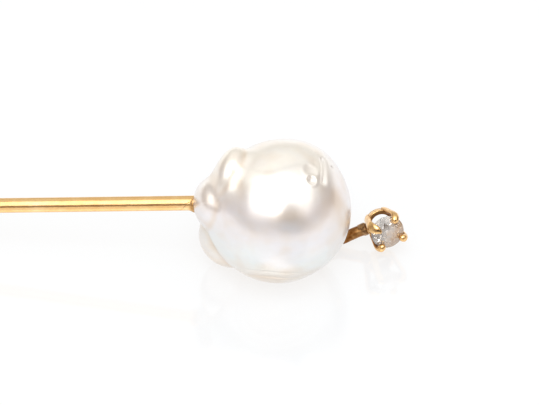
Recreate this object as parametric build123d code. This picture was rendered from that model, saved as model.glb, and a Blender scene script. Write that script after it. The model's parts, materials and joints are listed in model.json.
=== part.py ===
from build123d import *
from math import asin, cos, degrees, pi, sin, sqrt, tan, radians
import os

# Hat pin lying at rest on a flat surface: a long wire stem, a large baroque
# pearl as the head, and a small old-cut diamond in a four-claw setting that
# stands off the pearl on its own short wire.
# Millimetres, +Z up. The origin is the middle of the spot the pearl rests on;
# the stem runs towards -X and its point also touches the surface at z = 0.

os.makedirs("parts", exist_ok=True)

# stem
STEM_R = 0.6            # 1.2 mm wire
STEM_LENGTH = 60.0      # from the pearl to the point
POINT_LENGTH = 14.0     # ground taper at the end
POINT_R = 0.05          # rounding of the very point
NECK_R = 0.61           # the wire swells a little towards the pearl
NECK_LENGTH = 2.5

# pearl
PEARL_R = 5.85          # main body of the pearl
REST_DEPTH = 0.08       # height of the worn spot it rests on
PEARL_Z = PEARL_R - REST_DEPTH
CAP_R = 6.30            # flatter growth over the upper back
CAP_SHIFT = 0.80
CAP_AXIS = Vector(-0.67, 0.58, 0.47)
HOLE_R = 0.44           # drilled for the pegs
STEM_HOLE_DEPTH = 5.2
TAIL_HOLE_DEPTH = 4.4
# lobes: centre measured from the middle of the pearl, then radius
STEM_LOBE = (Vector(-4.88, -0.50, 0.80), 2.00)
UPPER_LOBE = (Vector(-2.70, -0.50, 3.60), 2.52)
LOWER_LOBE = (Vector(-3.64, -0.10, -2.79), 2.70)

# cup and peg that hold the pearl on the stem
JUNCTION = Vector(-6.80, -0.22, PEARL_Z + 0.34)   # stem axis meets the pearl
SCARF_BACK = 0.45       # sloping solder joint, measured back from the pearl
SCARF_NORMAL = Vector(0.75, -0.38, -0.54)
SOLDER_FILM = 0.05
SOLDER_BEAD = 0.03      # solder standing proud round the joint
CUP_R = 0.70            # rim that sits on the pearl
CUP_FLARE = 0.50        # length of the flare
CUP_SEAT = 0.25         # depth the rim follows the pearl
PEG_R = 0.40
STEM_PEG_LENGTH = 4.9
GROOVE_DEPTH = 0.06     # rings cut round the pegs as a key for the cement
GROOVE_WIDTH = 0.20
GROOVE_PITCH = 0.80

# tail wire
TAIL_R = 0.50
TAIL_ELBOW = Vector(4.35, 2.75, 0.53)
TAIL_OUT = Vector(0.80, 0.27, -0.53)     # way it leaves the pearl
TAIL_BEND_R = 1.2
TAIL_PEG_LENGTH = 4.1

# setting and stone
GIRDLE_CENTRE = Vector(8.66, 1.91, 2.60)
STONE_AXIS = Vector(0.37, -0.88, 0.30)
STONE_ACROSS = Vector(0.93, 0.36, -0.09)
GIRDLE_R = 1.36
GIRDLE_HALF = 0.03
CROWN_ANGLE = 36.0
TABLE_RATIO = 0.52
STAR_ANGLE = 22.0
PAVILION_ANGLE = 41.0
CULET_RATIO = 0.10
STAR_REACH = 0.74       # radius of the star facet tips over the girdle radius
LOWER_REACH = 0.48      # radius of the lower facet tips over the girdle radius
RING_BOTTOM = -2.42     # heights are measured from the girdle plane
RING_TOP = -1.70
RING_FOOT_R = 1.14
RING_LIP_R = 1.25
RING_HOLE_R = 0.84
CLAW_AZIMUTHS = {
    "claw_right": -22.0,
    "claw_upper": 68.0,
    "claw_left": 156.0,
    "claw_lower": 242.0,
}
CLAW_PATH = [(1.12, -2.22), (1.36, -1.15), (1.56, -0.15), (1.44, 0.27)]
CLAW_WIDE = 0.32        # half width across
CLAW_THICK = 0.21       # half thickness along the radius
BEAD_AT = (1.25, 0.42)
BEAD_R = 0.34
SOLDER_R = 0.60         # lump between the tail wire and the ring
SOLDER_AT = 1.22        # its distance from the ring's axis


def unit(vector):
    """The same direction with length one."""
    return vector * (1 / vector.length)


def placed(origin, z_dir, x_dir=None):
    """Location with +Z along z_dir."""
    return Plane(origin=origin, x_dir=x_dir, z_dir=unit(z_dir)).location


def rod(start, direction, radius, length):
    """Round bar from start along direction."""
    bar = Cylinder(radius, length, align=(Align.CENTER, Align.CENTER, Align.MIN))
    return placed(start, direction) * bar


def half_space(point, normal, size=30.0):
    """Block on the side of the plane that the normal points to."""
    block = Box(size, size, size, align=(Align.CENTER, Align.CENTER, Align.MIN))
    return placed(point, normal) * block


def grooves(start, direction, first, count):
    """Rings to take off a peg, the first one at the given distance from start."""
    rings = []
    for index in range(count):
        at = start + unit(direction) * (first + index * GROOVE_PITCH)
        outer = rod(at, direction, PEG_R + 0.2, GROOVE_WIDTH)
        inner = rod(at, direction, PEG_R - GROOVE_DEPTH, GROOVE_WIDTH)
        rings.append(outer - inner)
    return rings


PEARL_CENTRE = Vector(0, 0, PEARL_Z)
STEM_SLOPE = asin((JUNCTION.Z - POINT_R) / STEM_LENGTH)
STEM_DIR = Vector(cos(STEM_SLOPE), 0, sin(STEM_SLOPE))      # towards the pearl
STEM_TIP = JUNCTION - STEM_DIR * STEM_LENGTH
SCARF_POINT = JUNCTION - STEM_DIR * SCARF_BACK
TAIL_OUT = unit(TAIL_OUT)
STONE_AXIS = unit(STONE_AXIS)
SETTING = Plane(origin=GIRDLE_CENTRE, x_dir=STONE_ACROSS, z_dir=STONE_AXIS)


# ---- pearl ----------------------------------------------------------------

def pearl_body():
    """Round body with a flatter cap, three lobes and the worn resting spot."""
    body = Sphere(PEARL_R) & Pos(*(unit(CAP_AXIS) * -CAP_SHIFT)) * Sphere(CAP_R)
    for centre, radius in (STEM_LOBE, UPPER_LOBE, LOWER_LOBE):
        body = body + Pos(*centre) * Sphere(radius)
    body = Pos(0, 0, PEARL_Z) * body
    return body & half_space(Vector(0, 0, 0), Vector(0, 0, 1))


def stem_hole():
    return rod(JUNCTION - STEM_DIR, STEM_DIR, HOLE_R, STEM_HOLE_DEPTH + 1)


def tail_exit():
    """Point where the tail wire's axis leaves the round body of the pearl."""
    to_elbow = TAIL_ELBOW - PEARL_CENTRE
    along = to_elbow.dot(TAIL_OUT)
    inside = sqrt(along ** 2 - to_elbow.dot(to_elbow) + PEARL_R ** 2)
    return TAIL_ELBOW - TAIL_OUT * (along - inside)


def tail_hole():
    start = tail_exit() + TAIL_OUT
    return rod(start, TAIL_OUT * -1, HOLE_R, TAIL_HOLE_DEPTH + 1)


# ---- stem, cup and peg ----------------------------------------------------

def stem():
    """Straight wire with a ground point and a sloping end for the cup."""
    profile_points = []
    steps = 8
    for index in range(steps + 1):
        along = index / steps
        radius = POINT_R + (STEM_R - POINT_R) * (1 - (1 - along) ** 2)
        profile_points.append((radius, along * POINT_LENGTH))
    with BuildPart() as turned:
        with BuildSketch(Plane.XZ):
            with BuildLine():
                Line((0, -POINT_R), (0, STEM_LENGTH))
                Line((0, STEM_LENGTH), (NECK_R, STEM_LENGTH))
                Line((NECK_R, STEM_LENGTH), (STEM_R, STEM_LENGTH - NECK_LENGTH))
                Line((STEM_R, STEM_LENGTH - NECK_LENGTH), (STEM_R, POINT_LENGTH))
                Spline(*profile_points)
                JernArc(start=(POINT_R, 0), tangent=(0, -1), radius=POINT_R, arc_size=-90)
            make_face()
        revolve(axis=Axis.Z)
    wire = placed(STEM_TIP, STEM_DIR) * turned.part
    return wire - half_space(SCARF_POINT, SCARF_NORMAL)


def stem_solder(pearl_solid):
    """Thin film of solder in the sloping joint, standing a little proud."""
    start = JUNCTION - STEM_DIR * 2
    film = rod(start, STEM_DIR, NECK_R + SOLDER_BEAD, 3.0)
    far_side = SCARF_POINT + unit(SCARF_NORMAL) * SOLDER_FILM
    film = film & half_space(SCARF_POINT, SCARF_NORMAL)
    return film & half_space(far_side, SCARF_NORMAL * -1) - pearl_solid


def pearl_cup(pearl_solid):
    """Flared seat for the pearl, with the grooved peg that goes into its hole."""
    start = JUNCTION - STEM_DIR * 1.6
    straight = rod(start, STEM_DIR, NECK_R, 1.6 + CUP_SEAT)
    flare = Cone(NECK_R, CUP_R, CUP_FLARE, align=(Align.CENTER, Align.CENTER, Align.MIN))
    flare_start = JUNCTION + STEM_DIR * (CUP_SEAT - CUP_FLARE)
    body = straight + placed(flare_start, STEM_DIR) * flare - pearl_solid - stem_hole_core()
    peg = rod(JUNCTION - STEM_DIR * 0.4, STEM_DIR, PEG_R, 0.4 + STEM_PEG_LENGTH)
    for ring in grooves(JUNCTION, STEM_DIR, 1.2, 4):
        peg = peg - ring
    solder_face = SCARF_POINT + unit(SCARF_NORMAL) * SOLDER_FILM
    return (body + peg) & half_space(solder_face, SCARF_NORMAL)


def stem_hole_core():
    """The part of the drilled hole that lies inside the pearl."""
    return rod(JUNCTION, STEM_DIR, HOLE_R, STEM_HOLE_DEPTH)


# ---- tail wire ------------------------------------------------------------

def tail_wire():
    """Bent wire from the pearl to the setting, its inner end filed to a peg."""
    leave = tail_exit()
    line = FilletPolyline(leave, TAIL_ELBOW, ring_middle(), radius=TAIL_BEND_R)
    section = Plane(origin=leave, z_dir=TAIL_OUT) * Circle(TAIL_R)
    wire = sweep(section, path=line) - SETTING.location * tail_end_cutter()
    peg = rod(leave + TAIL_OUT * 0.05, TAIL_OUT * -1, PEG_R, TAIL_PEG_LENGTH)
    for ring in grooves(leave, TAIL_OUT * -1, 1.0, 3):
        peg = peg - ring
    return wire + peg


def ring_middle():
    return SETTING.from_local_coords(Vector(0, 0, (RING_BOTTOM + RING_TOP) / 2))


def tail_end_cutter():
    """Shapes the wire's end to the outside of the ring; local to the setting."""
    return Pos(0, 0, RING_BOTTOM - 1) * Cylinder(
        RING_LIP_R, 3.0, align=(Align.CENTER, Align.CENTER, Align.MIN))


def tail_solder(metal):
    """Lump of solder that holds the wire to the ring."""
    towards_wire = unit(TAIL_ELBOW - ring_middle())
    lump = Pos(*(ring_middle() + towards_wire * SOLDER_AT)) * Sphere(SOLDER_R)
    lump = lump - SETTING.location * collet_core()
    lump = lump - SETTING.location * Pos(0, 0, RING_BOTTOM - 1) * Cylinder(
        RING_HOLE_R + 0.12, 4.0, align=(Align.CENTER, Align.CENTER, Align.MIN))
    for part in metal:
        lump = lump - part
    return lump


# ---- setting, built about the girdle's own middle --------------------------

def collet_core():
    """The ring's outside shape with its hole filled."""
    height = RING_TOP - RING_BOTTOM
    cone = Cone(RING_FOOT_R, RING_LIP_R, height, align=(Align.CENTER, Align.CENTER, Align.MIN))
    return Pos(0, 0, RING_BOTTOM) * cone


def claw(azimuth, stone):
    """Claw rising from the ring and bent over the stone's edge into a bead."""
    points = [(radius, 0, height) for radius, height in CLAW_PATH]
    path = Spline(*points)
    section_plane = Plane(origin=path @ 0, x_dir=(0, 1, 0), z_dir=path % 0)
    section = section_plane * Ellipse(CLAW_WIDE, CLAW_THICK)
    arm = sweep(section, path=path)
    bead = Pos(BEAD_AT[0], 0, BEAD_AT[1]) * Sphere(BEAD_R)
    return Rot(0, 0, azimuth) * (arm + bead) - stone


def collet_ring(claws):
    """Base ring of the setting, notched where the claws are let in."""
    ring = collet_core() - Pos(0, 0, RING_BOTTOM) * Cylinder(RING_HOLE_R, 4.0)
    for arm in claws:
        ring = ring - arm
    return ring


# ---- stone ----------------------------------------------------------------

def polar(radius, azimuth, height):
    angle = radians(azimuth)
    return Vector(radius * cos(angle), radius * sin(angle), height)


def facet_cut(first, second, third):
    """Block outside the plane through three points; away from the stone's middle."""
    normal = unit((second - first).cross(third - first))
    if normal.dot(first) < 0:
        normal = normal * -1
    return half_space(first, normal, size=8.0)


def main_plane_height(radius, slope, corner_radius, corner_height):
    """Height on a main facet, along its own azimuth, at a given radius."""
    return corner_height + (corner_radius - radius) * tan(radians(slope))


def diamond():
    """Old-cut brilliant with a table, stars, kites, halves, mains and an open culet."""
    half_step = 22.5
    table_r = GIRDLE_R * TABLE_RATIO
    crown_top = main_plane_height(table_r, CROWN_ANGLE, GIRDLE_R, GIRDLE_HALF)
    culet_r = GIRDLE_R * CULET_RATIO
    depth = main_plane_height(culet_r, PAVILION_ANGLE, GIRDLE_R, GIRDLE_HALF)
    stone = Pos(0, 0, -depth) * Cylinder(
        GIRDLE_R, crown_top + depth, align=(Align.CENTER, Align.CENTER, Align.MIN))
    for index in range(8):
        azimuth = index * 45.0
        edge = GIRDLE_R * tan(radians(10))
        across = polar(edge, azimuth + 90, 0)
        low = polar(GIRDLE_R, azimuth, GIRDLE_HALF)
        high = polar(table_r, azimuth, crown_top)
        stone = stone - facet_cut(low, low + across, high)
        under = polar(GIRDLE_R, azimuth, -GIRDLE_HALF)
        deep = polar(culet_r, azimuth, -depth)
        stone = stone - facet_cut(under, under + across, deep)
    for index in range(8):
        azimuth = index * 45.0
        corner = polar(table_r, azimuth, crown_top)
        next_corner = polar(table_r, azimuth + 45, crown_top)
        star_r = GIRDLE_R * STAR_REACH
        star_height = main_plane_height(
            star_r * cos(radians(half_step)), CROWN_ANGLE, GIRDLE_R, GIRDLE_HALF)
        star_tip = polar(star_r, azimuth + half_step, star_height)
        stone = stone - facet_cut(corner, next_corner, star_tip)
        lower_r = GIRDLE_R * LOWER_REACH
        lower_height = -main_plane_height(
            lower_r * cos(radians(half_step)), PAVILION_ANGLE, GIRDLE_R, GIRDLE_HALF)
        lower_tip = polar(lower_r, azimuth + half_step, lower_height)
        middle = azimuth + half_step
        for side in (azimuth, azimuth + 45):
            rim = polar(GIRDLE_R, side, GIRDLE_HALF)
            rim_middle = polar(GIRDLE_R, middle, GIRDLE_HALF)
            stone = stone - facet_cut(rim, rim_middle, star_tip)
            down = Vector(0, 0, -2 * GIRDLE_HALF)
            stone = stone - facet_cut(rim + down, rim_middle + down, lower_tip)
    return stone


# ---- build ----------------------------------------------------------------

pearl_plain = pearl_body()
cup = pearl_cup(pearl_plain)

loose_stone = diamond()
loose_claws = {name: claw(azimuth, loose_stone) for name, azimuth in CLAW_AZIMUTHS.items()}
loose_ring = collet_ring(loose_claws.values())
claws = {name: SETTING.location * arm for name, arm in loose_claws.items()}

tail = tail_wire()
for arm in claws.values():
    tail = tail - arm

NODES = {
    "stem": stem(),
    "stem_solder": stem_solder(pearl_plain),
    "pearl_cup": cup,
    "pearl": pearl_plain - stem_hole() - tail_hole(),
    "stem_cement": (stem_hole_core() & pearl_plain) - cup,
    "tail_wire": tail,
    "tail_cement": (tail_hole() & pearl_plain) - tail,
    "tail_solder": tail_solder([tail, *claws.values()]),
    "collet_ring": SETTING.location * loose_ring,
    "diamond": SETTING.location * loose_stone,
}
NODES.update(claws)

for name, shape in NODES.items():
    solids = shape.solids()
    volume = sum(solid.volume for solid in solids)
    print(name, len(solids), round(volume, 4), shape.bounding_box())
    export_step(shape, f"parts/{name}.step")
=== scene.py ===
import json
import math

import bmesh
import bpy
import numpy as np
from mathutils import Matrix, Vector, noise


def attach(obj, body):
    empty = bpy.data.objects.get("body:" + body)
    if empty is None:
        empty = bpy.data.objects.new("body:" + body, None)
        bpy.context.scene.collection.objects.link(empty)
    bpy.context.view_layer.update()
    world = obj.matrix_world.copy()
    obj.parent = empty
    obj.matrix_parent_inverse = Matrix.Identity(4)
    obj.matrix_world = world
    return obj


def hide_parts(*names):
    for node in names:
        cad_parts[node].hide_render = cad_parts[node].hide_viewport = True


# A gold hat pin lying on a glossy white surface: baroque pearl head, small
# claw-set diamond on a bent wire. Lengths below are in millimetres, in the
# frame's own axes, and turned into metres when a mesh is made.

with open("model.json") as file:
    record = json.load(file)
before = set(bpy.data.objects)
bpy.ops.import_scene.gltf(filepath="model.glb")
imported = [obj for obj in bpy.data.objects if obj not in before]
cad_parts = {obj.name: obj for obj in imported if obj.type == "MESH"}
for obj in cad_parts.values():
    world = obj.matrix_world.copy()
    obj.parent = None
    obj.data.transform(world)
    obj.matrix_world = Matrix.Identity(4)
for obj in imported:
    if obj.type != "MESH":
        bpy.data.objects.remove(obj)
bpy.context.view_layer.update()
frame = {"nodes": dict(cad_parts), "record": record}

MM = 0.001

# ---- shared measurements ----------------------------------------------------

mounts = {m["name"]: m for m in frame["record"]["mounts"]}
shank = mounts["stem_shank"]
STEM_DIR = -Vector(shank["axis"]).normalized()          # towards the pearl
SHANK_AT = Vector(shank["pos_m"]) / MM
STEM_R = shank["dims"]["r_mm"]

PEARL_R = 5.85
PEARL_CENTRE = Vector((0, 0, 5.77))
JUNCTION_X = -6.80
STEM_LENGTH = 60.0
POINT_LENGTH = 14.0
POINT_R = 0.05
SCARF_BACK = 0.45
SCARF_NORMAL = Vector((0.75, -0.38, -0.54)).normalized()
PEG_R = 0.40

TAIL_ELBOW = Vector((4.35, 2.75, 0.53))
TAIL_OUT = Vector((0.80, 0.27, -0.53)).normalized()

GIRDLE_CENTRE = Vector((8.66, 1.91, 2.60))
STONE_AXIS = Vector((0.37, -0.88, 0.30)).normalized()
STONE_ACROSS = Vector((0.93, 0.36, -0.09))
STONE_ACROSS = (STONE_ACROSS - STONE_AXIS * STONE_ACROSS.dot(STONE_AXIS)).normalized()
STONE_UP = STONE_AXIS.cross(STONE_ACROSS)
RING_BOTTOM = -2.42
RING_TOP = -1.70

JUNCTION = SHANK_AT + STEM_DIR * ((JUNCTION_X - SHANK_AT.x) / STEM_DIR.x)
STEM_TIP = JUNCTION - STEM_DIR * STEM_LENGTH
SCARF_POINT = JUNCTION - STEM_DIR * SCARF_BACK


def in_setting(across, up, along):
    """Point given in the setting's own axes, measured from the girdle's middle."""
    return GIRDLE_CENTRE + STONE_ACROSS * across + STONE_UP * up + STONE_AXIS * along


# ---- mesh helpers -----------------------------------------------------------

def make_piece(name, verts, faces, material, nodes=(), slot=None, smooth=True, grime_and_shade=None):
    """Closed mesh from millimetre points; stands for the given CAD nodes.

    The grime and shade map, if given, says from 0 to 1 how much grime and painted shade lie on each
    point:
    either one number for each vertex, or a function of a point and its normal.
    """
    mesh = bpy.data.meshes.new(name)
    mesh.from_pydata([tuple(Vector(v) * MM) for v in verts], [], faces)
    mesh.validate()
    turned = bmesh.new()
    turned.from_mesh(mesh)
    bmesh.ops.recalc_face_normals(turned, faces=turned.faces)
    turned.to_mesh(mesh)
    turned.free()
    mesh.update()
    if grime_and_shade is not None:
        if callable(grime_and_shade):
            grime_and_shade = [grime_and_shade(v.co / MM, v.normal) for v in mesh.vertices]
        # kept for the materials: grime, and on the pearl and the setting painted shade too
        layer = mesh.attributes.new("grime_and_shade", "FLOAT", "POINT")
        layer.data.foreach_set("value", np.clip(grime_and_shade, 0.0, 1.0))
    obj = bpy.data.objects.new(name, mesh)
    bpy.context.scene.collection.objects.link(obj)
    mesh.polygons.foreach_set("use_smooth", [smooth] * len(mesh.polygons))
    mesh.materials.append(material)
    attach(obj, "root")
    if nodes:
        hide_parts(*nodes)
    return obj


def cross_axes(direction):
    """Two unit vectors square to direction and to each other."""
    side = Vector((0, 0, 1)).cross(direction)
    if side.length < 0.1:
        side = Vector((0, 1, 0)).cross(direction)
    side.normalize()
    return side, direction.cross(side).normalized()


def skin(rings):
    """Vertices and quads of a closed tube through rings of equal length."""
    count = len(rings[0])
    verts = [point for ring in rings for point in ring]
    faces = []
    for row in range(len(rings) - 1):
        for i in range(count):
            j = (i + 1) % count
            a, b = row * count, (row + 1) * count
            faces.append((a + i, a + j, b + j, b + i))
    first = sum(rings[0], Vector()) / count
    last = sum(rings[-1], Vector()) / count
    verts += [first, last]
    start, end = len(verts) - 2, len(verts) - 1
    base = (len(rings) - 1) * count
    for i in range(count):
        j = (i + 1) % count
        faces.append((start, j, i))
        faces.append((end, base + i, base + j))
    return verts, faces


def ring_points(centre, side, up, radius_side, radius_up, count, power=2.0):
    """Points of an ellipse, or a squarer one for power above 2."""
    points = []
    for i in range(count):
        angle = 2 * math.pi * i / count
        c, s = math.cos(angle), math.sin(angle)
        x = math.copysign(abs(c) ** (2 / power), c) * radius_side
        y = math.copysign(abs(s) ** (2 / power), s) * radius_up
        points.append(centre + side * x + up * y)
    return points


def lathe(origin, direction, profile, count=64):
    """Rings of a turned shape; profile is a list of (distance along, radius)."""
    side, up = cross_axes(direction)
    return [
        ring_points(origin + direction * along, side, up, radius, radius, count)
        for along, radius in profile
    ]


def smooth_path(points, steps):
    """Catmull-Rom curve through points, with its tangents."""
    points = [Vector(p) for p in points]
    padded = [points[0] * 2 - points[1], *points, points[-1] * 2 - points[-2]]
    places, tangents = [], []
    for k in range(1, len(padded) - 2):
        p0, p1, p2, p3 = padded[k - 1:k + 3]
        last = k == len(padded) - 3
        for step in range(steps + (1 if last else 0)):
            t = step / steps
            places.append(0.5 * (
                2 * p1 + (p2 - p0) * t + (2 * p0 - 5 * p1 + 4 * p2 - p3) * t ** 2
                + (3 * p1 - p0 - 3 * p2 + p3) * t ** 3))
            tangents.append((0.5 * (
                (p2 - p0) + 2 * (2 * p0 - 5 * p1 + 4 * p2 - p3) * t
                + 3 * (3 * p1 - p0 - 3 * p2 + p3) * t ** 2)).normalized())
    return places, tangents


def smooth_step(value, low, high):
    share = min(max((value - low) / (high - low), 0.0), 1.0)
    return share * share * (3 - 2 * share)


def wander(point, scale, amount, seed=0.0):
    """Smooth random offset at a point, the same on every run."""
    shifted = Vector(point) * scale + Vector((seed, seed * 1.7, -seed))
    return noise.noise(shifted) * amount


# ---- node helpers -----------------------------------------------------------

class Nodes:
    """A material and short calls for the nodes in it."""

    def __init__(self, name):
        self.material = bpy.data.materials.new(name)
        self.material.use_nodes = True
        self.tree = self.material.node_tree
        self.shader = self.tree.nodes["Principled BSDF"]
        self.place = self.tree.nodes.new("ShaderNodeTexCoord").outputs["Object"]

    def stored(self, name):
        """Number kept on the mesh's own points."""
        node = self.tree.nodes.new("ShaderNodeAttribute")
        node.attribute_name = name
        return node.outputs["Fac"]

    def put(self, socket, value):
        if isinstance(value, bpy.types.NodeSocket):
            self.tree.links.new(value, socket)
        else:
            socket.default_value = value

    def stretch(self, scale, source=None, rotation=(0, 0, 0)):
        node = self.tree.nodes.new("ShaderNodeMapping")
        self.put(node.inputs["Vector"], source or self.place)
        node.inputs["Scale"].default_value = scale
        node.inputs["Rotation"].default_value = rotation
        return node.outputs["Vector"]

    def noise(self, scale, detail=3.0, roughness=0.55, source=None, distortion=0.0):
        node = self.tree.nodes.new("ShaderNodeTexNoise")
        self.put(node.inputs["Vector"], source or self.place)
        node.inputs["Scale"].default_value = scale
        node.inputs["Detail"].default_value = detail
        node.inputs["Roughness"].default_value = roughness
        node.inputs["Distortion"].default_value = distortion
        return node.outputs["Fac"]

    def ramp(self, source, stops):
        node = self.tree.nodes.new("ShaderNodeValToRGB")
        self.put(node.inputs["Fac"], source)
        elements = node.color_ramp.elements
        while len(elements) < len(stops):
            elements.new(0.5)
        for element, (position, colour) in zip(elements, stops):
            element.position = position
            element.color = (*colour, 1) if len(colour) == 3 else colour
        return node.outputs["Color"]

    def remap(self, source, low, high, to_low, to_high):
        node = self.tree.nodes.new("ShaderNodeMapRange")
        self.put(node.inputs["Value"], source)
        for key, value in zip(("From Min", "From Max", "To Min", "To Max"),
                              (low, high, to_low, to_high)):
            node.inputs[key].default_value = value
        return node.outputs["Result"]

    def mix(self, factor, first, second, blend="MIX"):
        node = self.tree.nodes.new("ShaderNodeMix")
        node.data_type = "RGBA"
        node.blend_type = blend
        self.put(node.inputs[0], factor)
        self.put(node.inputs[6], first if isinstance(first, bpy.types.NodeSocket) else (*first, 1))
        self.put(node.inputs[7], second if isinstance(second, bpy.types.NodeSocket) else (*second, 1))
        return node.outputs[2]

    def math(self, operation, first, second=0.0):
        node = self.tree.nodes.new("ShaderNodeMath")
        node.operation = operation
        self.put(node.inputs[0], first)
        self.put(node.inputs[1], second)
        return node.outputs[0]

    def bump(self, height, distance, strength=1.0, normal=None):
        node = self.tree.nodes.new("ShaderNodeBump")
        self.put(node.inputs["Height"], height)
        node.inputs["Distance"].default_value = distance
        node.inputs["Strength"].default_value = strength
        if normal is not None:
            self.put(node.inputs["Normal"], normal)
        return node.outputs["Normal"]

    def set(self, **values):
        for key, value in values.items():
            self.put(self.shader.inputs[key.replace("_", " ")], value)
        return self


# ---- materials --------------------------------------------------------------

FLOOR_GLOW = 0.78           # to the eye
FLOOR_GLOW_REFLECTED = 0.82
NACRE_ROUGHNESS = (0.285, 0.33)
NACRE_METALLIC = 0.60
# tan of the painted shade and painted reflections on the pearl, and how much of it is laid on
SHADE_TAN_SHARE = 0.62
SHADE_TAN = (0.72, 0.59, 0.46)
DIAMOND_IOR = 2.42
FLOOR_IOR = 1.7


def gold_material(name, along, tarnish=0.25, rough=0.19):
    """Worn old gold: fine lines along the wire, rosier patches, brown grime and, on the setting,
    painted shade where the stored map puts them.
    """
    m = Nodes(name)
    side, up = cross_axes(Vector(along).normalized())
    turn = Matrix((Vector(along).normalized(), side, up)).to_euler()
    lined = m.stretch((260.0, 9000.0, 9000.0), rotation=turn)
    lines = m.noise(1.0, 2.0, 0.6, source=lined)
    patches = m.noise(900.0, 4.0, 0.6)
    specks = m.noise(4200.0, 3.0, 0.7)
    worn = m.ramp(patches, [
        (0.30, (0.86, 0.53, 0.22)), (0.55, (0.90, 0.59, 0.27)), (0.75, (0.93, 0.65, 0.34))])
    spots = m.remap(specks, 0.50, 0.75, 0.0, tarnish)
    # brown grime from the stored map; on the setting part of it is painted shade
    settled_grime_and_shade = m.math("MULTIPLY", m.stored("grime_and_shade"), m.remap(specks, 0.35, 0.60, 0.85, 1.0))
    tarnish_grime_and_shade = m.math("MAXIMUM", spots, settled_grime_and_shade)
    brown = m.mix(patches, (0.12, 0.036, 0.008), (0.36, 0.13, 0.022))
    colour = m.mix(tarnish_grime_and_shade, worn, brown)
    roughness = m.math("ADD", m.remap(lines, 0.3, 0.7, rough - 0.05, rough + 0.05),
                       m.math("MULTIPLY", tarnish_grime_and_shade, 0.35))
    fine = m.bump(lines, 0.000012, 0.35)
    surface = m.bump(patches, 0.00003, 0.25, normal=fine)
    surface = m.bump(settled_grime_and_shade, 0.00004, 0.30, normal=surface)
    m.set(Metallic=1.0, Base_Color=colour, Roughness=roughness, Normal=surface)
    return m.material


def oxide_material(name):
    """Dull brown solder and old dirt where the pieces meet."""
    m = Nodes(name)
    grain = m.noise(3500.0, 4.0, 0.65)
    colour = m.ramp(grain, [
        (0.30, (0.10, 0.05, 0.025)), (0.55, (0.36, 0.20, 0.09)), (0.75, (0.66, 0.42, 0.18))])
    m.set(Metallic=1.0, Base_Color=colour, Roughness=m.remap(grain, 0.3, 0.7, 0.55, 0.30),
          Normal=m.bump(grain, 0.00004, 0.6))
    return m.material


def pearl_material():
    """Nacre: satin lustre over a pale body; rosy, green and cream in broad clouds."""
    m = Nodes("nacre")
    broad = m.noise(170.0, 2.0, 0.5)
    cloud = m.noise(520.0, 3.0, 0.55)
    streak = m.noise(1.0, 3.0, 0.6, source=m.stretch((240.0, 240.0, 1100.0)))
    height = m.tree.nodes.new("ShaderNodeSeparateXYZ")
    m.put(height.inputs[0], m.place)
    height = m.math("ADD", height.outputs["Z"], m.remap(broad, 0.3, 0.7, -0.0016, 0.0016))
    level = m.remap(height, 0.0, 0.012, 0.0, 1.0)
    tint = m.ramp(level, [
        (0.12, (0.83, 0.76, 0.68)), (0.22, (0.82, 0.79, 0.74)), (0.36, (0.77, 0.80, 0.79)),
        (0.52, (0.80, 0.79, 0.81)), (0.68, (0.82, 0.79, 0.80)), (0.92, (0.86, 0.82, 0.75))])
    warm = m.mix(m.remap(cloud, 0.42, 0.70, 0.0, 0.50), tint, (0.78, 0.73, 0.69))
    cool = m.mix(m.remap(streak, 0.48, 0.72, 0.0, 0.30), warm, (0.72, 0.76, 0.82))
    # tan painted shade and painted reflections, as much as the stored map says, over the nacre's own
    # colours
    colour = m.mix(m.math("MULTIPLY", m.stored("grime_and_shade"), SHADE_TAN_SHARE), cool, SHADE_TAN)
    grain = m.noise(7000.0, 3.0, 0.6)
    ripple = m.noise(900.0, 3.0, 0.5)
    skin_bump = m.bump(ripple, 0.00002, 0.25)
    m.set(Base_Color=colour, Roughness=m.remap(cloud, 0.3, 0.7, *NACRE_ROUGHNESS),
          Metallic=NACRE_METALLIC,
          Normal=m.bump(grain, 0.000005, 0.12, normal=skin_bump))
    m.shader.inputs["Coat Weight"].default_value = 0.25
    m.shader.inputs["Coat Roughness"].default_value = 0.12
    m.shader.inputs["Coat IOR"].default_value = 1.5
    return m.material


def diamond_material():
    """Old stone, clear on one side and full of warm cloudy inclusions on the other."""
    m = Nodes("old_diamond")
    split = m.tree.nodes.new("ShaderNodeSeparateXYZ")
    m.put(split.inputs[0], m.place)
    # rises from the stone's left to its lower right, through the girdle's middle
    side = m.math("SUBTRACT", split.outputs["X"], m.math("MULTIPLY", split.outputs["Z"], 0.55))
    wisps = m.noise(1500.0, 4.0, 0.7)
    grains = m.noise(9000.0, 3.0, 0.7)
    side = m.math("ADD", side, m.remap(wisps, 0.3, 0.7, -0.0007, 0.0007))
    middle = (GIRDLE_CENTRE.x - GIRDLE_CENTRE.z * 0.55) * MM
    cloudy = m.remap(side, middle - 0.0009, middle + 0.0006, 0.0, 1.0)
    beige = m.mix(m.remap(grains, 0.35, 0.65, 0.0, 1.0), (0.32, 0.19, 0.10), (0.58, 0.43, 0.30))
    colour = m.mix(cloudy, (0.99, 0.97, 0.94), beige)
    m.set(Base_Color=colour, Roughness=m.remap(wisps, 0.50, 0.80, 0.0, 0.06))
    m.set(Transmission_Weight=m.remap(cloudy, 0.0, 1.0, 0.95, 0.22))
    m.shader.inputs["IOR"].default_value = DIAMOND_IOR
    return m.material


def cement_material():
    m = Nodes("pearl_cement")
    grain = m.noise(5000.0, 3.0, 0.6)
    colour = m.ramp(grain, [(0.3, (0.62, 0.52, 0.36)), (0.7, (0.80, 0.72, 0.56))])
    m.set(Base_Color=colour, Roughness=0.7, Normal=m.bump(grain, 0.00003, 0.4))
    return m.material


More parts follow.
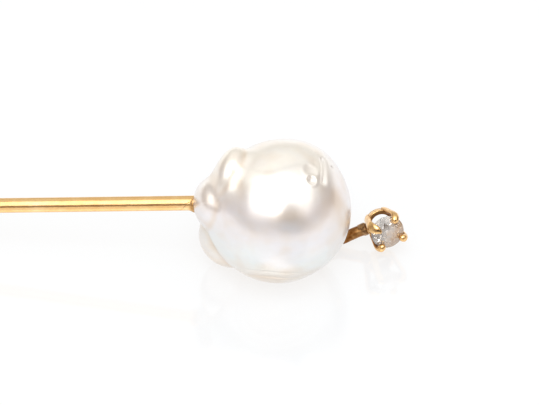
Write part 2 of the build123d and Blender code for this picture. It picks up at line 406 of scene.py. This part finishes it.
def floor_material():
    """Glossy white; it glows a little, so that shadows on it stay faint and warm."""
    m = Nodes("glossy_white_floor")
    cloud = m.noise(6.0, 2.0)
    m.set(Base_Color=m.ramp(cloud, [(0.0, (0.10, 0.12, 0.14)), (1.0, (0.11, 0.13, 0.15))]),
          Roughness=0.10)
    m.shader.inputs["IOR"].default_value = FLOOR_IOR
    m.shader.inputs["Emission Color"].default_value = (1.0, 0.975, 0.955, 1.0)
    seen = m.tree.nodes.new("ShaderNodeLightPath").outputs["Is Camera Ray"]
    m.set(Emission_Strength=m.remap(seen, 0.0, 1.0, FLOOR_GLOW_REFLECTED, FLOOR_GLOW))
    return m.material


# ---- stem, solder film and cup ------------------------------------------------

def stem_radius(along):
    """Radius at a distance from the very point."""
    if along < POINT_R:
        return math.sqrt(max(POINT_R ** 2 - (POINT_R - along) ** 2, 1e-6))
    if along < POINT_LENGTH:
        share = along / POINT_LENGTH
        return POINT_R + (STEM_R - POINT_R) * (1 - (1 - share) ** 2)
    return STEM_R


def scarf_distance(offset, extra=0.0):
    """How far along the stem, from the scarf's middle, its plane is at an offset."""
    return (extra - offset.dot(SCARF_NORMAL)) / STEM_DIR.dot(SCARF_NORMAL)


def stem_rings(count=96):
    side, up = cross_axes(STEM_DIR)
    stations = [0.0, 0.004, 0.012, 0.025, 0.05, 0.1, 0.25, 0.5]
    stations += [1.0 + k for k in range(14)]
    stations += list(np.linspace(15.0, STEM_LENGTH - 2.2, 70))
    rings = []
    for along in stations:
        radius = stem_radius(along)
        rings.append(ring_points(
            STEM_TIP + STEM_DIR * along, side, up, radius, radius, count))
    for short in (0.30, 0.02, 0.0):
        sloped = []
        for point in ring_points(SCARF_POINT, side, up, STEM_R, STEM_R, count):
            offset = point - SCARF_POINT
            sloped.append(point + STEM_DIR * (scarf_distance(offset) - short))
        rings.append(sloped)
    return rings


def solder_rings(count=96, around=10):
    """Narrow bead that follows the sloping joint right round."""
    side, up = cross_axes(STEM_DIR)
    rings = []
    for k in range(around):
        angle = 2 * math.pi * k / around
        ring = []
        for i, point in enumerate(ring_points(SCARF_POINT, side, up, 1, 1, count)):
            out = (point - SCARF_POINT).normalized()
            swell = 0.022 + wander(out, 2.0, 0.012, 3.0)
            radius = STEM_R - 0.012 + swell * 0.5 * math.cos(angle)
            offset = out * radius
            along = scarf_distance(offset, 0.025) + swell * 1.3 * math.sin(angle)
            ring.append(SCARF_POINT + offset + STEM_DIR * along)
        rings.append(ring)
    return rings


def wrap(rings):
    """Vertices and quads of a tube closed on itself both ways."""
    rows, count = len(rings), len(rings[0])
    verts = [point for ring in rings for point in ring]
    faces = []
    for row in range(rows):
        a, b = row * count, ((row + 1) % rows) * count
        for i in range(count):
            j = (i + 1) % count
            faces.append((a + i, a + j, b + j, b + i))
    return verts, faces


def peg_profile(start, length, first, rings, pitch=0.8):
    """Grooved peg: (distance, radius) pairs from start."""
    profile = []
    for index in range(rings):
        at = first + index * pitch
        profile += [(at - 0.01, PEG_R), (at + 0.03, PEG_R - 0.06),
                    (at + 0.17, PEG_R - 0.06), (at + 0.21, PEG_R)]
    profile += [(length - 0.06, PEG_R), (length, PEG_R - 0.06), (length + 0.001, 0.02)]
    return [(start + along, radius) for along, radius in profile]


def cup_rings(count=96):
    """From the sloping joint, out to a small foot on the pearl, then the peg."""
    side, up = cross_axes(STEM_DIR)
    sloped = []
    for past in (0.0, 0.02):
        ring = []
        for point in ring_points(SCARF_POINT, side, up, STEM_R, STEM_R, count):
            offset = point - SCARF_POINT
            ring.append(point + STEM_DIR * (scarf_distance(offset, 0.05) + past))
        sloped.append(ring)
    flare = []
    for along, radius, drop in (
            (-0.42, 0.602, 0.0), (-0.30, 0.61, 0.01), (-0.18, 0.635, 0.03), (-0.06, 0.68, 0.05),
            (0.04, 0.72, 0.06), (0.12, 0.73, 0.06), (0.20, 0.70, 0.05)):
        centre = JUNCTION + STEM_DIR * along - up * drop
        flare.append(ring_points(centre, side, up, radius, radius, count))
    # the foot is kept ahead of the sloping joint where that joint runs close to it
    for k, ring in enumerate(flare):
        for i, point in enumerate(ring):
            ahead = (sloped[-1][i] - point).dot(STEM_DIR) + 0.012 * (k + 1)
            if ahead > 0:
                ring[i] = point + STEM_DIR * ahead
    inner = [ring_points(JUNCTION + STEM_DIR * (0.30 + 0.01 * k), side, up, radius, radius, count)
             for k, radius in enumerate((0.55, PEG_R))]
    peg = lathe(JUNCTION, STEM_DIR, peg_profile(0.0, 4.9, 1.2, 4), count)
    return [*sloped, *flare, *inner, *peg]


# ---- pearl --------------------------------------------------------------------

def unit_row(values):
    row = np.array(values, dtype=float)
    return row / np.linalg.norm(row)


CAP_AXIS = unit_row((-0.67, 0.58, 0.47))
CAP_R = 6.30
CAP_SHIFT = 0.80
# lobes: centre from the middle of the pearl, half sizes, turn in degrees, and how
# softly it joins; half sizes run across the front, up it, and out of it
FRONT = unit_row((0.077, -0.762, 0.643))
ACROSS = unit_row((0.995, 0.101, 0.0))
UPWARD = np.cross(FRONT, ACROSS)
LOBES = [
    ((-5.23, -0.72, 0.89), (1.50, 2.02, 2.70), 0.0, 0.70),
    ((-3.98, -0.07, 3.56), (1.15, 2.25, 2.20), -25.0, 0.95),
    ((-3.64, -0.10, -2.79), (2.72, 2.68, 2.70), 0.0, 0.22),
]


def soft_union(a, b, softness):
    h = np.clip(0.5 + 0.5 * (b - a) / softness, 0, 1)
    return b * (1 - h) + a * h - softness * h * (1 - h)


def soft_cut(a, b, softness):
    return -soft_union(-a, -b, softness)


def egg(p, centre, halves, turn):
    """Field of an ellipsoid turned in the plane of the front view, in degrees."""
    angle = math.radians(turn)
    first = ACROSS * math.cos(angle) + UPWARD * math.sin(angle)
    second = UPWARD * math.cos(angle) - ACROSS * math.sin(angle)
    local = (p - np.array(centre)) @ np.stack([first, second, FRONT], axis=1)
    halves = np.array(halves)
    near = np.linalg.norm(local / halves, axis=1)
    far = np.linalg.norm(local / halves ** 2, axis=1)
    return near * (near - 1) / np.maximum(far, 1e-9)


def pearl_field(p):
    """Distance-like field of the plain pearl, in millimetres from its middle."""
    body = np.linalg.norm(p, axis=1) - PEARL_R
    cap = np.linalg.norm(p + CAP_AXIS * CAP_SHIFT, axis=1) - CAP_R
    field = soft_cut(body, cap, 0.10)
    for centre, halves, turn, softness in LOBES:
        field = soft_union(field, egg(p, centre, halves, turn), softness)
    return field


def cube_sphere(n):
    """Directions and quads of a cube blown up to a ball, n squares to a side."""
    index, directions, faces = {}, [], []
    frames = [
        ((1, 0, 0), (0, 1, 0), (0, 0, 1)), ((-1, 0, 0), (0, 0, 1), (0, 1, 0)),
        ((0, 1, 0), (0, 0, 1), (1, 0, 0)), ((0, -1, 0), (1, 0, 0), (0, 0, 1)),
        ((0, 0, 1), (1, 0, 0), (0, 1, 0)), ((0, 0, -1), (0, 1, 0), (1, 0, 0)),
    ]
    for out, right, up in frames:
        grid = []
        for j in range(n + 1):
            row = []
            for i in range(n + 1):
                a = round(2 * i - n)
                b = round(2 * j - n)
                key = tuple(n * o + a * r + b * u for o, r, u in zip(out, right, up))
                if key not in index:
                    index[key] = len(directions)
                    bent = [math.tan(math.pi / 4 * k / n) for k in key]
                    directions.append(bent)
                row.append(index[key])
            grid.append(row)
        for j in range(n):
            for i in range(n):
                faces.append((grid[j][i], grid[j][i + 1], grid[j + 1][i + 1], grid[j + 1][i]))
    directions = np.array(directions)
    return directions / np.linalg.norm(directions, axis=1)[:, None], faces


def bell(distance, width):
    return np.exp(-(distance / width) ** 2)


def distance_to_line(d, first, second):
    """Distance in millimetres from directions d to the arc between two others."""
    first, second = unit_row(first), unit_row(second)
    run = second - first
    share = np.clip(((d - first) @ run) / (run @ run), 0, 1)
    return np.linalg.norm(d - (first + share[:, None] * run), axis=1) * PEARL_R


def pearl_detail(d):
    """Small marks on the skin: how far the surface moves out, by direction."""
    out = np.zeros(len(d))

    def near(direction):
        return np.arccos(np.clip(d @ unit_row(direction), -1, 1)) * PEARL_R

    # two small craters with raised lips
    for place, wide, deep in (((0.456, -0.148, 0.878), 0.50, 0.10),
                              ((0.485, -0.302, 0.821), 0.34, 0.13)):
        r = near(place)
        out -= deep * bell(r, wide)
        out += deep * 0.45 * bell(r - wide * 1.35, wide * 0.45)
    # pinhole
    out -= 0.10 * bell(near((0.713, 0.167, 0.681)), 0.13)
    # short groove
    gap = distance_to_line(d, (0.587, 0.187, 0.788), (0.642, -0.217, 0.736))
    out -= 0.16 * bell(gap, 0.24)
    # trough between the round body and the lobes on the stem's side
    trough = distance_to_line(d, (-2.77, -2.82, 4.21), (-3.60, -4.17, 1.71))
    out -= 0.13 * bell(trough, 0.95)
    # ledge where the growth over the back begins
    rise = d @ ACROSS
    wave = 0.565 + 0.045 * np.sin(rise * 7.5 - 0.4) + 0.02 * rise
    past = (d @ UPWARD - wave) * PEARL_R
    front = np.clip((d @ FRONT + 0.15) / 0.3, 0, 1) * np.clip((0.62 - rise) / 0.12, 0, 1)
    front *= np.clip((rise + 0.55) / 0.12, 0, 1)
    out -= 0.12 * front / (1 + np.exp(-past / 0.10)) * bell(np.maximum(past, 0), 2.2)
    # fine growth rings low on the front
    low = d @ UPWARD + 0.03 * np.sin(rise * 4.0 + 1.0)
    shown = np.clip((d @ FRONT + 0.1) / 0.3, 0, 1)
    for level, deep in ((-0.83, 0.036), (-0.90, 0.055), (-0.945, 0.036)):
        out -= deep * shown * bell(low - level, 0.012)
    # slight fullness high on the right
    out += 0.13 * bell(np.arccos(np.clip(d @ unit_row((0.50, 0.60, 0.62)), -1, 1)), 0.42)
    return out


def pearl_mesh(n):
    directions, faces = cube_sphere(n)
    low = np.full(len(directions), 3.0)
    high = np.full(len(directions), 9.5)
    for _ in range(26):
        middle = (low + high) / 2
        inside = pearl_field(directions * middle[:, None]) < 0
        low = np.where(inside, middle, low)
        high = np.where(inside, high, middle)
    reach = low + pearl_detail(directions)
    for i, direction in enumerate(directions):
        v = Vector(direction)
        reach[i] += noise.noise(v * 2.6) * 0.035 + noise.noise(v * 6.5) * 0.010
    points = directions * reach[:, None]
    # how much tan painted shade and painted reflection each point gets, over a random tone
    tone_and_shade = pearl_tone_and_painted_shade(points, directions)
    points[:, 2] = np.maximum(points[:, 2] + PEARL_CENTRE.z, 0.0)
    return [Vector(p) for p in points], faces, tone_and_shade


# painted reflections and painted shade in tan on the nacre: place across and up the front, half
# sizes, strength
SHADE_AND_REFLECTION_PATCHES = [
    (0.17, -0.10, 0.34, 0.14, 0.95),
    (0.71, 0.17, 0.12, 0.17, 0.70),
    (0.86, -0.16, 0.15, 0.34, 0.90),
    (-0.54, 0.40, 0.09, 0.24, 0.75),
    (0.05, -0.95, 0.55, 0.16, 0.90),
]


def pearl_tone_and_painted_shade(points, directions):
    """Tan on the nacre: painted shade in the folds between the lobes, painted reflections and painted
    shade in a few patches on the front, and a random tone all over.
    """
    body = np.linalg.norm(points, axis=1) - PEARL_R
    crease_shade = np.zeros(len(points))
    # painted shade in the creases where each lobe meets the round body
    for centre, halves, turn, _ in LOBES:
        lobe = egg(points, centre, halves, turn)
        crease_shade = np.maximum(crease_shade, bell(body - lobe, 0.32) * bell(body, 0.8))
    tone_and_shade = 0.8 * crease_shade
    # painted reflections and painted shade in patches, only on the side that faces the front
    shown = np.clip(directions @ FRONT * 3, 0, 1)
    for across, up, wide, tall, strength in SHADE_AND_REFLECTION_PATCHES:
        apart = np.hypot((directions @ ACROSS - across) / wide, (directions @ UPWARD - up) / tall)
        tone_and_shade += strength * shown * bell(apart, 1.0)
    # a random tone of the nacre on top
    return tone_and_shade + np.array([wander(Vector(p), 0.9, 0.5, 11.0) for p in points])


# ---- tail wire, solder lump and setting ----------------------------------------

def tail_rings(count=64):
    """From the peg inside the pearl, round the bend and up to the ring."""
    along = (TAIL_ELBOW - PEARL_CENTRE).dot(TAIL_OUT)
    reach = (TAIL_ELBOW - PEARL_CENTRE).length_squared
    leave = TAIL_ELBOW - TAIL_OUT * (along - math.sqrt(along ** 2 - reach + PEARL_R ** 2))
    target = in_setting(0, 0, (RING_BOTTOM + RING_TOP) / 2)
    into = (target - TAIL_ELBOW).normalized()
    end = target - into * 1.15
    bend = 0.62
    points = [
        leave - TAIL_OUT * 0.15,
        leave + (TAIL_ELBOW - TAIL_OUT * bend - leave) * 0.6,
        TAIL_ELBOW - TAIL_OUT * bend,
        TAIL_ELBOW + (into - TAIL_OUT) * bend * 0.27,
        TAIL_ELBOW + into * bend,
        TAIL_ELBOW + into * (bend + 0.8),
        end,
    ]
    places, tangents = smooth_path(points, 10)
    rings = []
    previous = None
    for place, tangent in zip(places, tangents):
        if previous is None:
            side, up = cross_axes(tangent)
        else:
            side = (previous - tangent * previous.dot(tangent)).normalized()
            up = tangent.cross(side)
        previous = side
        share = len(rings) / (len(places) - 1)
        radius = 0.51 - 0.05 * share
        ring = []
        for point in ring_points(place, side, up, radius, radius, count):
            push = wander(point, 1.6, 0.03, 8.0)
            ring.append(point + (point - place).normalized() * push)
        rings.append(ring)
    peg = []
    for length, radius in reversed(peg_profile(0.15, 3.95, 0.85, 3)):
        centre = leave - TAIL_OUT * length
        side, up = cross_axes(tangents[0])
        peg.append(ring_points(centre, side, up, radius, radius, count))
    return peg + rings


def ring_rings(count=96):
    """Cross-section of the base ring, taken right round the stone's axis."""
    outline = [(-2.42, 0.86), (-2.40, 1.10), (-2.34, 1.15), (-2.1, 1.17), (-1.85, 1.21),
               (-1.74, 1.25), (-1.70, 1.20), (-1.70, 0.92), (-1.75, 0.86), (-2.1, 0.84)]
    rings = []
    for height, radius in outline:
        ring = []
        for i in range(count):
            angle = 2 * math.pi * i / count
            point = in_setting(radius * math.cos(angle), radius * math.sin(angle), height)
            ring.append(point)
        rings.append(ring)
    return rings


CLAWS = {
    # azimuth about the stone's axis
    "claw_right": -22.0,
    "claw_upper": 68.0,
    "claw_left": 156.0,
    "claw_lower": 242.0,
}
POINTED = "claw_left"       # worn to a point that reaches further over the stone
POINT_LINE = [(1.12, -2.30), (1.20, -1.95), (1.36, -1.15), (1.52, -0.50),
              (1.58, -0.02), (1.44, 0.36), (1.18, 0.62), (0.88, 0.74)]
POINT_WIDTHS = [0.30, 0.32, 0.34, 0.36, 0.38, 0.40, 0.33, 0.14]
POINT_DEPTHS = [0.16, 0.21, 0.21, 0.20, 0.20, 0.20, 0.17, 0.10]
CLAW_LINE = [(1.12, -2.30), (1.20, -1.95), (1.36, -1.15), (1.50, -0.50),
             (1.56, -0.10), (1.52, 0.16), (1.40, 0.36), (1.24, 0.46)]
CLAW_WIDTHS = [0.30, 0.32, 0.32, 0.31, 0.30, 0.30, 0.31, 0.30]
CLAW_DEPTHS = [0.16, 0.21, 0.21, 0.20, 0.20, 0.22, 0.28, 0.30]


def claw_rings(name, azimuth, count=40):
    angle = math.radians(azimuth)
    radial = STONE_ACROSS * math.cos(angle) + STONE_UP * math.sin(angle)
    across = STONE_AXIS.cross(radial)
    outline, widths, depths = CLAW_LINE, CLAW_WIDTHS, CLAW_DEPTHS
    if name == POINTED:
        outline, widths, depths = POINT_LINE, POINT_WIDTHS, POINT_DEPTHS
    line = [GIRDLE_CENTRE + radial * r + STONE_AXIS * h for r, h in outline]
    places, tangents = smooth_path(line, 6)
    stations = range(len(outline))
    rings = []
    for k, (place, tangent) in enumerate(zip(places, tangents)):
        share = k / (len(places) - 1) * (len(outline) - 1)
        wide = np.interp(share, stations, widths)
        deep = np.interp(share, stations, depths)
        out = across.cross(tangent).normalized()
        rings.append(ring_points(place, across, out, wide, deep, count, 2.3))
    # rounded end
    place, tangent = places[-1], tangents[-1]
    out = across.cross(tangent).normalized()
    for step in range(1, 9):
        turn = math.pi / 2 * step / 8
        shrink = max(math.cos(turn), 0.03)
        rings.append(ring_points(
            place + tangent * depths[-1] * math.sin(turn), across, out,
            widths[-1] * shrink, depths[-1] * shrink, count))
    return rings


def setting_grime_and_shade(point, normal):
    """Old grime with painted shade: darker inside the setting, low down between the claws and in a
    band just above the girdle.
    """
    offset = point - GIRDLE_CENTRE
    height = offset.dot(STONE_AXIS)
    outward = offset - STONE_AXIS * height
    radius = outward.length
    inward = -normal.dot(outward / max(radius, 1e-6))
    # the inner walls, the low parts and the band by the girdle are darkened as painted shade as well
    # as grime
    inside = 0.95 * smooth_step(inward, -0.05, 0.45) * (1 - smooth_step(height, 0.0, 0.30))
    low = 0.60 * (1 - smooth_step(height, -1.6, -0.5)) * smooth_step(inward, -1.0, 0.2)
    neck = 0.55 * math.exp(-((height - 0.16) / 0.10) ** 2) * smooth_step(inward, -0.7, 0.0)
    return 0.10 + max(inside, low, neck) + wander(point, 3.5, 0.30, 2.0)


def tail_dirt(point, normal):
    """Brown nearly all over, cleaner along the underside and in a few rubbed streaks."""
    rubbed = 0.30 * smooth_step(-normal.z, 0.2, 0.9)
    return 0.90 - rubbed + wander(point, 2.6, 0.45, 4.0)


def cup_dirt(point, normal):
    """Grime round the foot, thickest against the pearl."""
    along = (point - JUNCTION).dot(STEM_DIR)
    return 0.55 * smooth_step(along, -0.36, 0.0) + wander(point, 3.0, 0.25, 6.0)


def stem_dirt(point, normal):
    """A little rubbing near the joint; clean elsewhere."""
    along = (point - JUNCTION).dot(STEM_DIR)
    return 0.25 * smooth_step(along, -1.6, -0.6) * smooth_step(-normal.z, -0.2, 0.6)


def solder_lump(count=48):
    """Uneven lump of solder between the tail wire and the ring."""
    middle = in_setting(0, 0, (RING_BOTTOM + RING_TOP) / 2)
    towards = (TAIL_ELBOW - middle).normalized()
    start = middle + towards * 1.10
    side, up = cross_axes(towards)
    rings = []
    for along, radius in ((0.0, 0.30), (0.03, 0.46), (0.10, 0.54), (0.22, 0.56),
                          (0.38, 0.54), (0.52, 0.505), (0.66, 0.475), (0.70, 0.40)):
        ring = []
        centre = start + towards * along
        for point in ring_points(centre, side, up, radius, radius, count):
            ring.append(point + (point - centre).normalized() * wander(point, 2.4, 0.10, 5.0))
        rings.append(ring)
    return rings


# ---- the pieces ----------------------------------------------------------------

FULL_SQUARES = 180

gold_stem = gold_material("gold_stem", STEM_DIR, tarnish=0.12, rough=0.17)
gold_tail = gold_material("gold_tail", TAIL_ELBOW - in_setting(0, 0, -2), tarnish=0.6, rough=0.24)
gold_setting = gold_material("gold_setting", STONE_AXIS, tarnish=0.30, rough=0.17)
gold_seam = gold_material("gold_seam", STEM_DIR, tarnish=0.55, rough=0.24)
oxide = oxide_material("old_solder")
nacre = pearl_material()

make_piece("stem_polished", *skin(stem_rings()), gold_stem, ["stem"], "gold", grime_and_shade=stem_dirt)
make_piece("stem_solder_seam", *wrap(solder_rings()), gold_seam, ["stem_solder"], "solder")
make_piece("pearl_cup_flared", *skin(cup_rings()), gold_stem, ["pearl_cup"], "gold",
           grime_and_shade=cup_dirt)
pearl_points, pearl_faces, pearl_tone_and_shade = pearl_mesh(FULL_SQUARES)
make_piece("baroque_pearl", pearl_points, pearl_faces, nacre, ["pearl"], "nacre", grime_and_shade=pearl_tone_and_shade)
make_piece("tail_wire_bent", *skin(tail_rings()), gold_tail, ["tail_wire"], "gold",
           grime_and_shade=tail_dirt)
make_piece("tail_solder_lump", *skin(solder_lump()), oxide, ["tail_solder"], "solder")
make_piece("setting_ring", *wrap(ring_rings()), gold_setting, ["collet_ring"], "gold",
           grime_and_shade=setting_grime_and_shade)
for claw_name, claw_azimuth in CLAWS.items():
    make_piece(claw_name + "_bead", *skin(claw_rings(claw_name, claw_azimuth)), gold_setting,
               [claw_name], "gold", grime_and_shade=setting_grime_and_shade)

for node_name, node_material in (("diamond", diamond_material()),
                                 ("stem_cement", cement_material()),
                                 ("tail_cement", cement_material())):
    for material_slot in frame["nodes"][node_name].material_slots:
        material_slot.material = node_material

# ---- surface, light and camera ---------------------------------------------------

VIEW_DOWN = math.radians(40)
VIEW_ROUND = math.radians(5.8)
across_view = Vector((math.cos(VIEW_ROUND), math.sin(VIEW_ROUND), 0))
look = Vector((-math.sin(VIEW_ROUND) * math.cos(VIEW_DOWN),
               math.cos(VIEW_ROUND) * math.cos(VIEW_DOWN), -math.sin(VIEW_DOWN)))
up_view = across_view.cross(look)


def seen_from(right, up, back):
    """Place given by how far right, up and towards the camera it is from the pearl, in mm."""
    return (PEARL_CENTRE + across_view * right + up_view * up - look * back) * MM


def card_shape(name, corners, material):
    """Flat stage card that only reflections see; corners are (right, up, back) in mm."""
    mesh = bpy.data.meshes.new(name)
    points = [tuple(seen_from(*corner)) for corner in corners]
    mesh.from_pydata(points, [], [tuple(range(len(points)))])
    mesh.materials.append(material)
    card = bpy.data.objects.new(name, mesh)
    bpy.context.scene.collection.objects.link(card)
    card.visible_camera = False
    card.visible_diffuse = False
    card.visible_shadow = False
    card.visible_transmission = False


def plain_shade(name, colour, feather=0.30):
    """Shade of a card: one even tone that fades out towards its left and right ends."""
    material = bpy.data.materials.new(name)
    material.use_nodes = True
    tree = material.node_tree
    tree.nodes.clear()
    link = tree.links.new
    glow = tree.nodes.new("ShaderNodeEmission")
    glow.inputs["Color"].default_value = (*colour, 1)
    clear = tree.nodes.new("ShaderNodeBsdfTransparent")
    place = tree.nodes.new("ShaderNodeTexCoord").outputs["Generated"]
    split = tree.nodes.new("ShaderNodeSeparateXYZ")
    link(place, split.inputs[0])
    fades = []
    for start, end in ((0.0, feather), (1.0, 1.0 - feather)):
        fade = tree.nodes.new("ShaderNodeMapRange")
        fade.interpolation_type = "SMOOTHSTEP"
        fade.inputs["From Min"].default_value = start
        fade.inputs["From Max"].default_value = end
        link(split.outputs["X"], fade.inputs["Value"])
        fades.append(fade.outputs["Result"])
    both = tree.nodes.new("ShaderNodeMath")
    both.operation = "MULTIPLY"
    link(fades[0], both.inputs[0])
    link(fades[1], both.inputs[1])
    mix = tree.nodes.new("ShaderNodeMixShader")
    link(both.outputs[0], mix.inputs[0])
    link(clear.outputs[0], mix.inputs[1])
    link(glow.outputs[0], mix.inputs[2])
    out = tree.nodes.new("ShaderNodeOutputMaterial")
    link(mix.outputs[0], out.inputs[0])
    return material


def area_light(name, centre, aim, width, height, power, colour=(1, 1, 1)):
    data = bpy.data.lights.new(name, "AREA")
    data.shape = "RECTANGLE"
    data.size = width
    data.size_y = height
    data.energy = power
    data.color = colour
    light = bpy.data.objects.new(name, data)
    bpy.context.scene.collection.objects.link(light)
    light.location = centre
    light.rotation_mode = "QUATERNION"
    light.rotation_quaternion = (Vector(aim) - Vector(centre)).to_track_quat("-Z", "Y")
    light.visible_camera = False
    return light


floor_mesh = bpy.data.meshes.new("floor")
floor_mesh.from_pydata([(-4, -4, 0), (4, -4, 0), (4, 4, 0), (-4, 4, 0)], [], [(0, 1, 2, 3)])
floor_mesh.materials.append(floor_material())
floor = bpy.data.objects.new("floor", floor_mesh)
bpy.context.scene.collection.objects.link(floor)
floor.location.z = -0.00002

ROOM_LOW = (0.35, 0.285, 0.25)
ROOM_BACK = (0.72, 0.70, 0.65)
ROOM_TOP = (0.89, 0.88, 0.85)
ROOM_SEEN = (1.05, 1.05, 1.05)


def white_room():
    """World: bright overhead, dimmer low down in front and to the sides, white to the eye."""
    made = bpy.data.worlds.new("white_room")
    made.use_nodes = True
    tree = made.node_tree
    link = tree.links.new
    place = tree.nodes.new("ShaderNodeTexCoord").outputs["Generated"]
    split = tree.nodes.new("ShaderNodeSeparateXYZ")
    link(place, split.inputs[0])

    def span(source, low, high):
        node = tree.nodes.new("ShaderNodeMapRange")
        node.interpolation_type = "SMOOTHSTEP"
        node.inputs["From Min"].default_value = low
        node.inputs["From Max"].default_value = high
        link(source, node.inputs["Value"])
        return node.outputs["Result"]

    def blend(factor, first, second):
        node = tree.nodes.new("ShaderNodeMix")
        node.data_type = "RGBA"
        link(factor, node.inputs[0])
        for socket, value in ((node.inputs[6], first), (node.inputs[7], second)):
            if isinstance(value, bpy.types.NodeSocket):
                link(value, socket)
            else:
                socket.default_value = (*value, 1)
        return node.outputs[2]

    high = span(split.outputs["Z"], 0.42, 0.60)
    behind = span(split.outputs["Y"], 0.50, 0.85)
    low_band = blend(behind, ROOM_LOW, ROOM_BACK)
    room = blend(high, low_band, ROOM_TOP)
    seen = tree.nodes.new("ShaderNodeLightPath").outputs["Is Camera Ray"]
    link(blend(seen, room, ROOM_SEEN), tree.nodes["Background"].inputs["Color"])
    return made


bpy.context.scene.world = white_room()

head = PEARL_CENTRE * MM


def high_front(elevation, distance):
    """Place above and in front of the pearl, at an elevation in degrees."""
    angle = math.radians(elevation)
    level = Vector((look.x, look.y, 0)).normalized()
    return head - level * math.cos(angle) * distance + Vector((0, 0, math.sin(angle) * distance))


area_light("softbox_over_camera", high_front(65, 0.62), head, 1.40, 0.78, 3.6)
area_light("softbox_middle", high_front(60, 0.48), head, 0.22, 0.30, 1.10)

dark = plain_shade("dark_card", (0.03, 0.027, 0.027))
card_shape("camera_dark", [
    (-110, -185, 300), (380, -225, 300), (250, -70, 300), (135, 105, 300), (80, 105, 300),
    (-10, -80, 300)], dark)
tan_side = plain_shade("tan_side", (0.16, 0.11, 0.08))
card_shape("right_side", [
    (300, 60, 70), (300, 190, 40), (300, 190, -120), (300, 110, -110), (300, 40, -20)], tan_side)

camera_data = bpy.data.cameras.new("camera")
camera = bpy.data.objects.new("camera", camera_data)
bpy.context.scene.collection.objects.link(camera)
SENSOR_WIDTH = 36.0
FRAME_WIDTH = 43.1          # millimetres of the scene across the picture
DISTANCE = 450.0
OFF_RIGHT, OFF_UP = -0.68, 0.60   # the pearl isn't quite in the middle
camera_data.sensor_width = SENSOR_WIDTH
camera_data.lens = DISTANCE * SENSOR_WIDTH / FRAME_WIDTH
camera.location = seen_from(OFF_RIGHT, OFF_UP, DISTANCE)
camera.rotation_mode = "QUATERNION"
camera.rotation_quaternion = look.to_track_quat("-Z", "Y")
camera_data.clip_start = 0.01
camera_data.clip_end = 20
bpy.context.scene.camera = camera

bpy.context.scene.view_settings.view_transform = "Standard"
